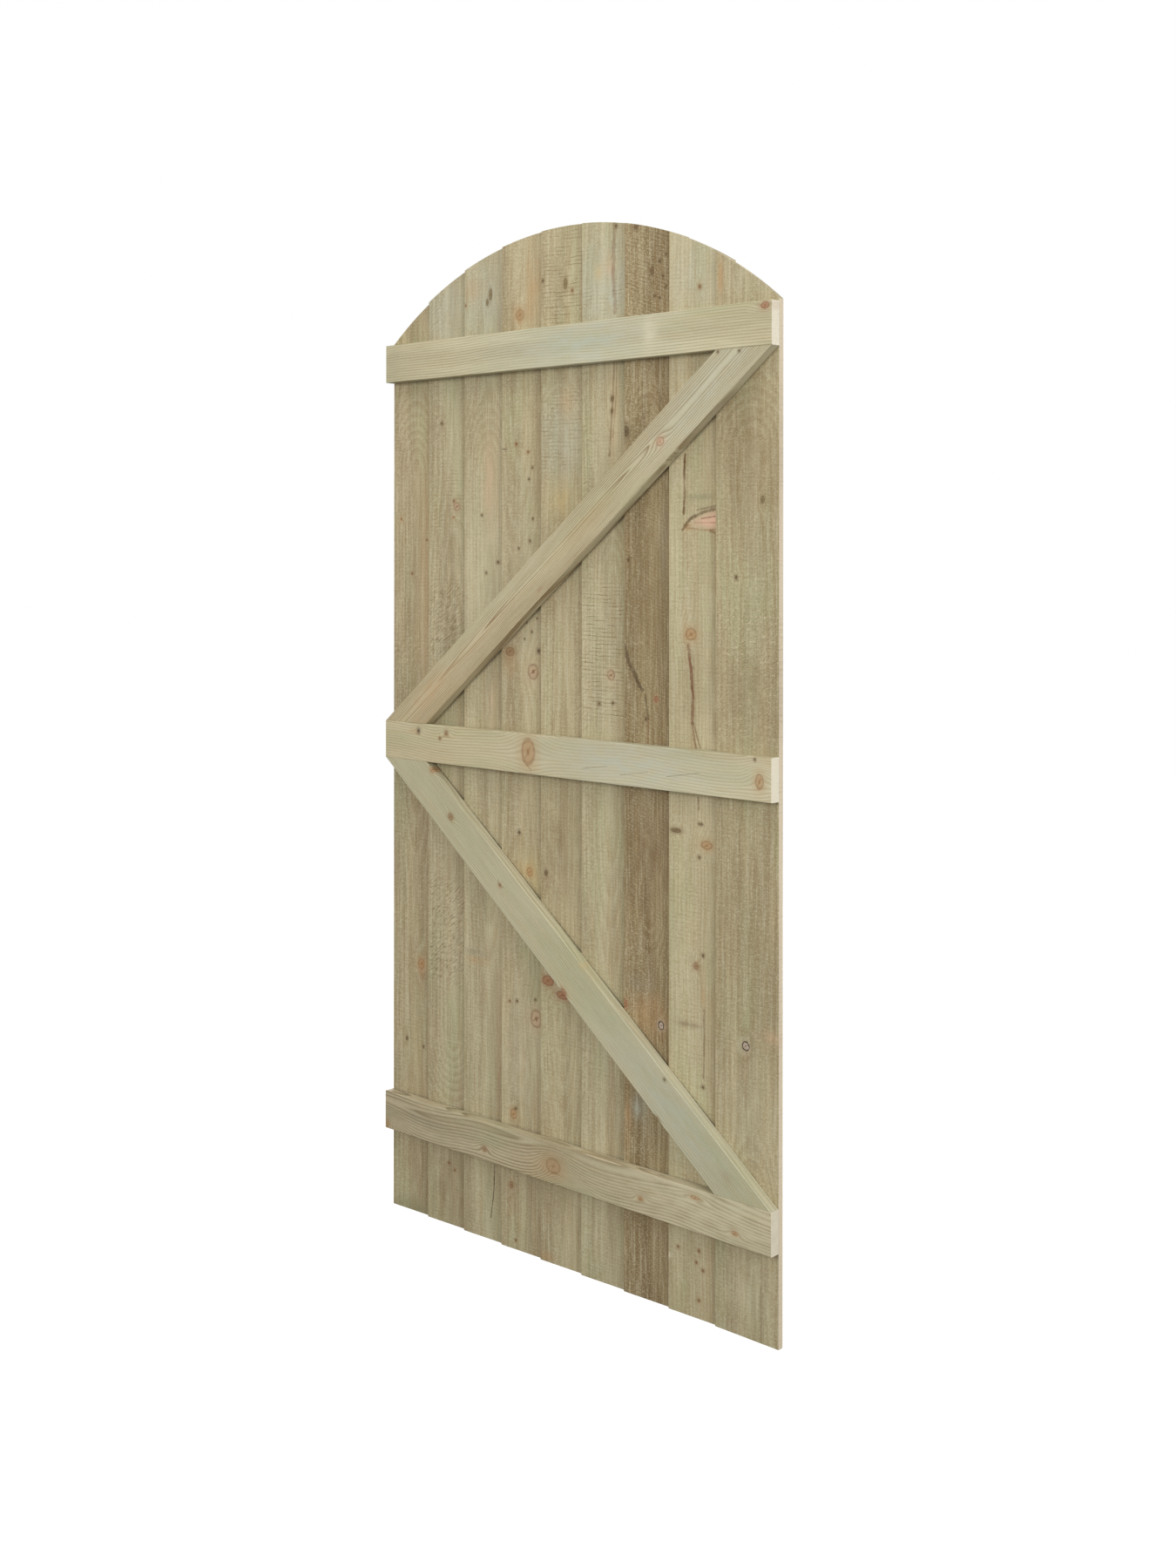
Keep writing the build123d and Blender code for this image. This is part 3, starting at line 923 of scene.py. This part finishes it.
            ([(711, 1395), (709, 1362), (710, 1335), (708, 1298)], 3.4, "brown", 0.9),
            ([(718, 1085), (724, 1040), (728, 1000), (725, 960)], 5.5, "red", 0.85),
            ([(725, 960), (733, 920)], 3.0, "red", 0.7), ([(728, 960), (742, 920)], 2.6, "brown", 0.6),
            ([(738, 840), (739, 822)], 3.0, "red", 0.6),
            ([(750, 500), (750, 445), (749, 390)], 3.2, "brown", 0.6),
            ([(710, 1279), (722, 1290), (745, 1300), (775, 1306)], 4.5, "olive", 0.75),
            ([(706, 1273), (716, 1280)], 4.0, "brown", 0.6),
            ([(735, 1304), (775, 1311)], 3.0, "dark", 0.55),
            ([(716, 1275), (745, 1272), (775, 1272)], 2.6, "orange", 0.5),
            ([(744, 1290), (775, 1294)], 1.8, "brown", 0.7),
            ([(730, 1284), (775, 1283)], 1.6, "brown", 0.35),
            ([(760, 1270), (775, 1266)], 4.0, "brown", 0.5)]},
    # Board 1's end tone is paler still: a fresh cut, and partly painted highlight on its thick right edge
    "board_1": {
        "heart": 850, "depth": 14, "ring": 8.5, "contrast": 0.33, "curls": 0.7,
        "end_highlight_tone": tone(236, 222, 196), "pale": tone(171, 159, 125), "deep": tone(147, 134, 102),
        "late": tone(136, 112, 76), "saw": 0.3,
        "arches": [(1400, 1530, 6), (200, 330, 4)],
        "fuzz": [((775, 900, 1350, 1470), 0.5), ((775, 900, 940, 1150), 1.0), ((775, 900, 560, 700), 0.3)],
        "knots": [(868, 1318, 4, 6, "olive"), (816, 1196, 3, 4, "dark"), (836, 459, 7, 7.5, "eye")],
        "stains": [
            (838, 1015, 70, 80, "umber", 0.36), (838, 1410, 70, 110, "umber", 0.38),
            (838, 1680, 70, 60, "light", 0.3), (838, 75, 70, 90, "light", 0.28),
            (838, 335, 70, 90, "light", 0.26), (784, 1675, 7, 36, "orange", 0.5),
            (888, 480, 15, 12, "pink", 0.5), (836, 430, 5, 34, "red", 0.35)],
        "streaks": [
            ([(836, 400), (838, 330)], 1.6, "red", 0.35), ([(866, 88), (866, 0)], 1.6, "brown", 0.5),
            ([(870, 80), (871, 0)], 1.4, "brown", 0.4)]},
}

# %% [markdown]
# Where a board runs on under the thin edge of the one beside it, each board that is lapped gets a
# darker band of painted shade there, standing in for the shadow in that corner.

# %% Make the boards
left_side = half_width / mm
upright = (0.0, 0.0, 1.0)
level = (1.0, 0.0, 0.0)
saw_relief = 0.22 * mm
edge_wear = 0.45 * mm
# Pale tone of the boards' ends and side edges, partly painted highlight
board_end_highlight_tone = tone(196, 182, 148)
# Size and height of the band of painted shade along each lap
lap_shade_half_width = 13
lap_shade_middle_height = 900
lap_shade_reach = 5000


def upright_place(x, y, z):
    """An upright timber: across is level from the gate's left side, and along is up."""
    return x + left_side, y, z


for index, name in enumerate(board_names):
    low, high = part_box(name)
    look = {"end_highlight_tone": board_end_highlight_tone, **board_looks[name], "seed": index + 1, "end_and_edge_axes": (upright, level)}
    # each lapped board gets an umber band of painted shade under the thin edge of the board before it
    if index > 0:
        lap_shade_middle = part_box(board_names[index - 1])[0].x / mm + left_side + 1
        lap_shade = (lap_shade_middle, lap_shade_middle_height, lap_shade_half_width, lap_shade_reach, "umber", 0.4)
        look["stains"] = [lap_shade, *look.get("stains", [])]
    holder = grow(name, board_tree, {
        "Left": low.x, "Width": high.x - low.x, "Plane": low.y, "Lift": high.y - low.y - thick_edge,
        "Thin edge": thin_edge, "Thick edge": thick_edge, "Arch radius": arch_radius,
        "Arch centre": arch_centre, "Relief": saw_relief, "Seed": float(index * 3 + 1),
        "Material": wood_material(f"sawn {name}", upright_place, look)})
    ease(holder, edge_wear, 2, "ANGLE")
    hand_over(name, holder)

# %% [markdown]
# Rails and braces are planed timber with rounded long edges. A rail is a straight stick, and a
# brace is the same stick with both ends cut level, so that they stand on the rails. One tree
# makes both: a block is moved along its own line, and leaned over so that its ends come out
# level. The edges that run along the timber are marked for a wide rounding, and the sawn ends
# for a narrow one.

# %% The planed timber tree
timber_tree, shape, given = new_tree("planed timber", "GeometryNodeTree", {
    "Start": "NodeSocketVector", "Direction": "NodeSocketVector", "Length": number,
    "Width": number, "Thickness": number, "Lean": number, "Relief": number, "Seed": number,
    "Steps": "NodeSocketInt", "Material": "NodeSocketMaterial",
}, plain_geometry)
timber_grid = {"Vertices X": given["Steps"], "Vertices Y": 5, "Vertices Z": 15}
block = shape.node("GeometryNodeMeshCube", None, timber_grid)
u, v, w = shape.parts(shape.node("GeometryNodeInputPosition"))
ends = shape.node("GeometryNodeInputMeshEdgeVertices")
start_u, start_v, start_w = shape.parts(shape.also(ends, "Position 1"))
end_u, end_v, end_w = shape.parts(shape.also(ends, "Position 2"))


def rim(first, second):
    """Whether both ends of an edge lie on the same outer side."""
    size = shape.maths("ABSOLUTE", first + second)
    return shape.maths("GREATER_THAN", size, 0.999)


on_end = rim(start_u, end_u)
on_face = rim(start_v, end_v)
on_side = rim(start_w, end_w)
end_rounding = 0.22
long_edge = on_face * on_side * (1.0 - on_end)
end_edge = on_end * shape.maths("MAXIMUM", on_face, on_side)
weight = shape.maths("MAXIMUM", long_edge, end_edge * end_rounding)
marked = shape.node("GeometryNodeStoreNamedAttribute", {"data_type": "FLOAT", "domain": "EDGE"},
                    {"Geometry": block, "Name": "bevel_weight_edge", "Value": weight})
seed = given["Seed"]
along = (u + 0.5) * given["Length"]
face_noise = shape.noise(shape.join(seed + along / 0.12, seed, w * 1.4), 2)
side_noise = shape.noise(shape.join(seed + along / 0.1, 4.0, v + seed), 2)
in_face = face_noise * given["Relief"] * v * -2.0
in_side = side_noise * given["Relief"] * w * -2.0
depth = (v - 0.5) * given["Thickness"] + in_face
across = w * given["Width"] + in_side
run = along + across * given["Lean"]
right, _, up = shape.parts(given["Direction"])
start_x, start_y, start_z = shape.parts(given["Start"])
place = shape.join(
    start_x + run * right - across * up, start_y + depth, start_z + run * up + across * right)
moved = shape.node("GeometryNodeSetPosition", None, {"Geometry": marked, "Position": place})
finish_tree(shape, moved, given["Material"])
print("timber tree", len(timber_tree.nodes), "nodes")

# %% Looks of the rails and braces
# The pale end tone of rails and braces is partly painted highlight on their ends
planed = {"roughness": 0.62, "gloss": 0.35, "fibre": 0.2, "wobble": 0.3, "grit": 0.12, "saw": 0.0,
          "end_highlight_tone": tone(250, 242, 220)}
rail_looks = {
    "top_rail": {
        "heart": 1420, "depth": 90, "ring": 4.4, "sway": 30, "contrast": 0.68,
        "pale": tone(192, 184, 152), "deep": tone(175, 165, 134), "late": tone(140, 128, 92),
        "knots": [(1618, 887, 5.5, 8, "red")],
        "stains": [
            (1592, 500, 50, 170, "blue", 0.55), (1595, 655, 30, 16, "pale", 0.45),
            (1590, 20, 40, 22, "grey", 0.2)]},
    "middle_rail": {
        "heart": 1010, "depth": 60, "ring": 4.8, "sway": 40, "contrast": 0.62,
        "pale": tone(196, 187, 154), "deep": tone(184, 172, 138), "late": tone(156, 138, 100),
        "knots": [
            (905, 92, 4.5, 4, "black"), (906, 167, 4.5, 5, "brown"), (895, 150, 3, 3.5, "brown"),
            (888, 376, 23, 16, "orange"), (914, 868, 2.5, 2.5, "dark"), (880, 877, 12, 8, "orange")],
        "stains": [
            (904, 80, 5, 14, "orange", 0.5), (866, 376, 6, 14, "yellow", 0.4),
            (884, 610, 50, 200, "blue", 0.55)],
        "streaks": [
            ([(872, 362), (856, 384)], 1.6, "dark", 0.6), ([(870, 505), (878, 560)], 1.2, "dark", 0.4),
            ([(866, 590), (876, 650)], 1.2, "dark", 0.4), ([(872, 690), (884, 760)], 1.2, "dark", 0.4)]},
    "bottom_rail": {
        "heart": 205, "depth": 9, "ring": 5.0, "sway": 60, "contrast": 0.8, "drift": 30,
        "pale": tone(184, 170, 138), "deep": tone(160, 146, 114), "late": tone(112, 94, 62),
        "swells": [(156, -4, 22, 40, 6), (150, 455, 22, 48, 7), (180, 436, 14, 26, 4)],
        "knots": [
            (158, 4, 6, 7, "swirl"), (170, 268, 5, 6, "brown"), (180, 437, 13, 17, "swirl"),
            (204, 750, 3, 9, "orange"), (174, 635, 3.5, 5, "orange"), (168, 830, 3.5, 6, "orange")],
        "stains": [
            (170, 420, 26, 50, "orange", 0.3), (184, 100, 40, 170, "grey", 0.4),
            (184, 800, 60, 260, "light", 0.55)]},
}

# %% Make the rails
planed_round = 1.5 * mm
planed_relief = 0.08 * mm
rail_steps = 226
brace_steps = 262


def level_place(x, y, z):
    """A level timber: across is up, and along is level from the gate's left side."""
    return z, y, x + left_side


for index, (name, facts) in enumerate(rail_looks.items()):
    low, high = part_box(name)
    look = {**planed, **facts, "seed": index + 21, "end_and_edge_axes": (level,)}
    holder = grow(name, timber_tree, {
        "Start": (low.x, high.y, (low.z + high.z) / 2), "Direction": level, "Length": high.x - low.x,
        "Width": high.z - low.z, "Thickness": high.y - low.y, "Lean": 0.0, "Relief": planed_relief,
        "Seed": float(index + 3), "Steps": rail_steps,
        "Material": wood_material(f"planed {name}", level_place, look)})
    ease(holder, planed_round, 4, "WEIGHT")
    hand_over(name, holder)

# %% Looks of the braces
brace_looks = {
    "upper_brace": {
        "rises": 1, "heart": 6, "depth": 7, "ring": 3.4, "sway": 14, "contrast": 0.85, "drift": 10,
        "pale": tone(186, 177, 145), "deep": tone(168, 156, 122), "late": tone(128, 100, 62), "green": 0.4,
        "arches": [(40, 420, 2), (620, 900, -2)],
        "knots": [
            (-3, 795, 7, 8, "pink"), (29, 973, 2.5, 2.5, "dark"), (1, 1005, 2.5, 2.5, "dark"),
            (-39, 795, 3, 4, "dark")],
        "stains": [
            (6, 105, 12, 50, "orange", 0.4), (2, 240, 10, 90, "orange", 0.25),
            (-4, 600, 12, 60, "orange", 0.22), (-22, 430, 2.5, 8, "red", 0.6),
            (0, 60, 40, 110, "orange", 0.28), (0, 930, 40, 150, "blue", 0.4)]},
    "lower_brace": {
        "rises": -1, "heart": -90, "depth": 60, "ring": 4.2, "sway": 24, "contrast": 0.6,
        "pale": tone(184, 178, 148), "deep": tone(172, 166, 136), "late": tone(144, 134, 98), "green": 0.5,
        "knots": [
            (35, 65, 5, 6, "orange"), (2.5, 155, 6, 7, "brown"), (-1.5, 322, 3.5, 4, "brown"),
            (27, 785, 2.5, 3, "olive"), (-36, 815, 4, 5, "brown"), (-34, 545, 6, 8, "red")],
        "stains": [
            (46, 565, 8, 24, "orange", 0.7), (7, 965, 8, 14, "brown", 0.4),
            (32, 545, 4, 6, "yellow", 0.5), (0, 820, 45, 190, "blue", 0.4)]},
}


# %% Make the braces
brace_width = 70.0 * mm
brace_lines = {}


def leaning_place(start, direction):
    """A leaning timber: across is square to its length, and along runs from its left end."""

    def place(x, y, z):
        right = x - start[0] / mm
        up = z - start[2] / mm
        return up * direction[0] - right * direction[2], y, right * direction[0] + up * direction[2]

    return place


for index, (name, facts) in enumerate(brace_looks.items()):
    low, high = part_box(name)
    span = high.x - low.x
    rise = (high.z - low.z) * facts["rises"]
    angle = math.atan2(abs(rise), span) + math.asin(brace_width / math.hypot(span, rise))
    turn = math.copysign(angle, rise)
    direction = (math.cos(turn), 0.0, math.sin(turn))
    half_cut = brace_width / math.sin(angle) / 2
    brace_lines[name] = (turn, 2 * half_cut)
    start = (low.x + half_cut, high.y, low.z if rise > 0 else high.z)
    look = {**planed, **facts, "seed": index + 31, "end_and_edge_axes": (upright,)}
    holder = grow(name, timber_tree, {
        "Start": start, "Direction": direction, "Length": abs(rise) / math.sin(angle),
        "Width": brace_width, "Thickness": high.y - low.y, "Lean": -1.0 / math.tan(turn),
        "Relief": planed_relief, "Seed": float(index + 13), "Steps": brace_steps,
        "Material": wood_material(f"planed {name}", leaning_place(start, direction), look)})
    ease(holder, planed_round, 4, "WEIGHT")
    hand_over(name, holder)
    print(name, "leans", round(math.degrees(turn), 2), "degrees")

# %% [markdown]
# The gate is nailed together from the weather side, one nail for each board at each rail and at
# each brace. All of the nails are the same, so one is turned as a lathe would turn it, from a
# short outline, and a tree sets a copy on each marked place. A nail stands square to the face of
# its board, and that face slants, so each place also carries the slope of its board. A small
# chance turn keeps the nails from looking stamped.

# %% One nail
nail_length = 27.0 * mm
nail_radius = 1.05 * mm
nail_head_radius = 2.5 * mm
nail_head_thickness = 1.0 * mm
nail_point_length = 3.0 * mm
nail_sides = 24


def turned(name, outline):
    """A shape turned about the upright axis. The outline gives radius and height, tip first."""
    corners = []
    for radius, height in outline:
        for step in range(nail_sides):
            turn = 2 * math.pi * step / nail_sides
            corners.append((radius * math.cos(turn), radius * math.sin(turn), height))
    faces = [tuple(reversed(range(nail_sides)))]
    for ring in range(len(outline) - 1):
        for step in range(nail_sides):
            a = ring * nail_sides + step
            b = ring * nail_sides + (step + 1) % nail_sides
            faces.append((a, b, b + nail_sides, a + nail_sides))
    last = (len(outline) - 1) * nail_sides
    faces.append(tuple(range(last, last + nail_sides)))
    mesh = bpy.data.meshes.new(name)
    mesh.from_pydata(corners, [], faces)
    return bpy.data.objects.new(name, mesh)


one_nail = turned("one nail", [
    (nail_radius * 0.12, -nail_length),
    (nail_radius, nail_point_length - nail_length),
    (nail_radius, -nail_head_thickness * 1.5),
    (nail_radius * 1.25, -nail_head_thickness),
    (nail_head_radius * 0.97, -nail_head_thickness),
    (nail_head_radius, -nail_head_thickness * 0.8),
    (nail_head_radius, -nail_head_thickness * 0.35),
    (nail_head_radius * 0.94, -nail_head_thickness * 0.14),
    (nail_head_radius * 0.7, -nail_head_thickness * 0.04),
    (nail_head_radius * 0.3, 0.0),
])
print("one nail", len(one_nail.data.polygons), "faces")


# %% Zinc coating of the nails
def zinc_material():
    """Dull zinc, cloudy from its crystals, and rubbed darker where the hammer struck."""
    material, graph = new_material("zinc on nails")
    object_place = graph.node("ShaderNodeTexCoord", None, None, out=3)
    place = graph.vector("MULTIPLY", object_place, (1000, 1000, 1000))
    crystals = graph.noise(graph.vector("MULTIPLY", place, (1.4, 1.4, 1.4)), 2)
    scuffs = graph.noise(graph.vector("MULTIPLY", place, (0.5, 3.0, 3.0)), 3)
    colour = graph.mix(graph.ramp(crystals, 0.35, 0.65), tone(146, 148, 148), tone(178, 180, 178))
    colour = graph.mix(graph.ramp(scuffs, 0.55, 0.75) * 0.5, colour, tone(104, 102, 98))
    bump = {"Strength": 0.5, "Distance": 0.0002, "Height": crystals + scuffs * 0.5}
    shader = link_shader(material, graph, colour, scuffs * 0.25 + 0.36, bump)
    shader.inputs["Metallic"].default_value = 0.85
    return material


# %% The nail tree
nail_tree, shape, given = new_tree("nails on places", "GeometryNodeTree", {
    "Places": "NodeSocketGeometry", "Nail": "NodeSocketObject", "Seed": "NodeSocketInt",
    "Material": "NodeSocketMaterial",
}, plain_geometry)
slope = shape.node("GeometryNodeInputNamedAttribute", {"data_type": "FLOAT"}, {"Name": "slope"})
outwards = shape.join(slope * -1.0, 1.0, 0.0)
square = shape.node("FunctionNodeAlignRotationToVector", {"axis": "Z"}, {"Vector": outwards})
whole_turn = {3: math.pi * 2, "Seed": given["Seed"]}
chance = shape.node("FunctionNodeRandomValue", {"data_type": "FLOAT"}, whole_turn, out=1)
twist = shape.node("FunctionNodeAxisAngleToRotation", None, {"Angle": chance})
aimed = shape.node("FunctionNodeRotateRotation", {"rotation_space": "LOCAL"}, {0: square, 1: twist})
single = shape.node("GeometryNodeObjectInfo", None, {"Object": given["Nail"]}, out="Geometry")
driven = shape.node("GeometryNodeInstanceOnPoints", None, {
    "Points": given["Places"], "Instance": single, "Rotation": aimed})
finish_tree(shape, driven, given["Material"])

# %% Where the nails go
nail_from_thick_edge = 40.0 * mm


def rail_middle(name):
    """The height of a rail's middle, the same all along it."""
    low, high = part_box(name)
    return lambda x: (low.z + high.z) / 2


def brace_middle(name):
    """The height half-way between a brace's long edges, and within its level ends."""
    low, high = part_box(name)
    turn, end_cut = brace_lines[name]
    start_height = low.z if turn > 0 else high.z

    def middle(x):
        upper = start_height + (x - low.x) * math.tan(turn)
        edges = (upper, upper - end_cut * math.tan(turn))
        return sum(min(max(edge, low.z), high.z) for edge in edges) / 2

    return middle


def nail_places(middle):
    """A mesh of one point for each board, each with the slope of that board's face."""
    points = []
    slopes = []
    for name in board_names:
        low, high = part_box(name)
        x = high.x - nail_from_thick_edge
        slope = (high.y - low.y - thin_edge) / (high.x - low.x)
        points.append((x, low.y + thin_edge + (x - low.x) * slope, middle(x)))
        slopes.append(slope)
    mesh = bpy.data.meshes.new("nail places")
    mesh.from_pydata(points, [], [])
    carried = mesh.attributes.new("slope", "FLOAT", "POINT")
    carried.data.foreach_set("value", slopes)
    return mesh


# %% Drive the nails
zinc = zinc_material()
middles = {name: rail_middle(name) for name in rail_looks}
middles.update({name: brace_middle(name) for name in brace_looks})
for index, (name, middle) in enumerate(middles.items()):
    node = f"{name}_nails"
    values = {"Nail": one_nail, "Seed": index + 1, "Material": zinc}
    piece = hand_over(node, grow(node, nail_tree, values, nail_places(middle)))
    _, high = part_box(node)
    corners = [corner.co for corner in piece.data.vertices]
    apart = max(abs(max(corner[axis] for corner in corners) - high[axis]) for axis in range(3))
    print(node, "box within", round(apart / mm, 2), "mm of the frame's")

bpy.data.objects.remove(one_nail)

# %% Compare the sizes and finish
model_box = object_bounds()
sizes = {
    "cad": [list(corner) for corner in cad_box],
    "model": [list(corner) for corner in model_box],
}
for label, corners in sizes.items():
    print(label, [[round(value / mm, 2) for value in corner] for corner in corners])
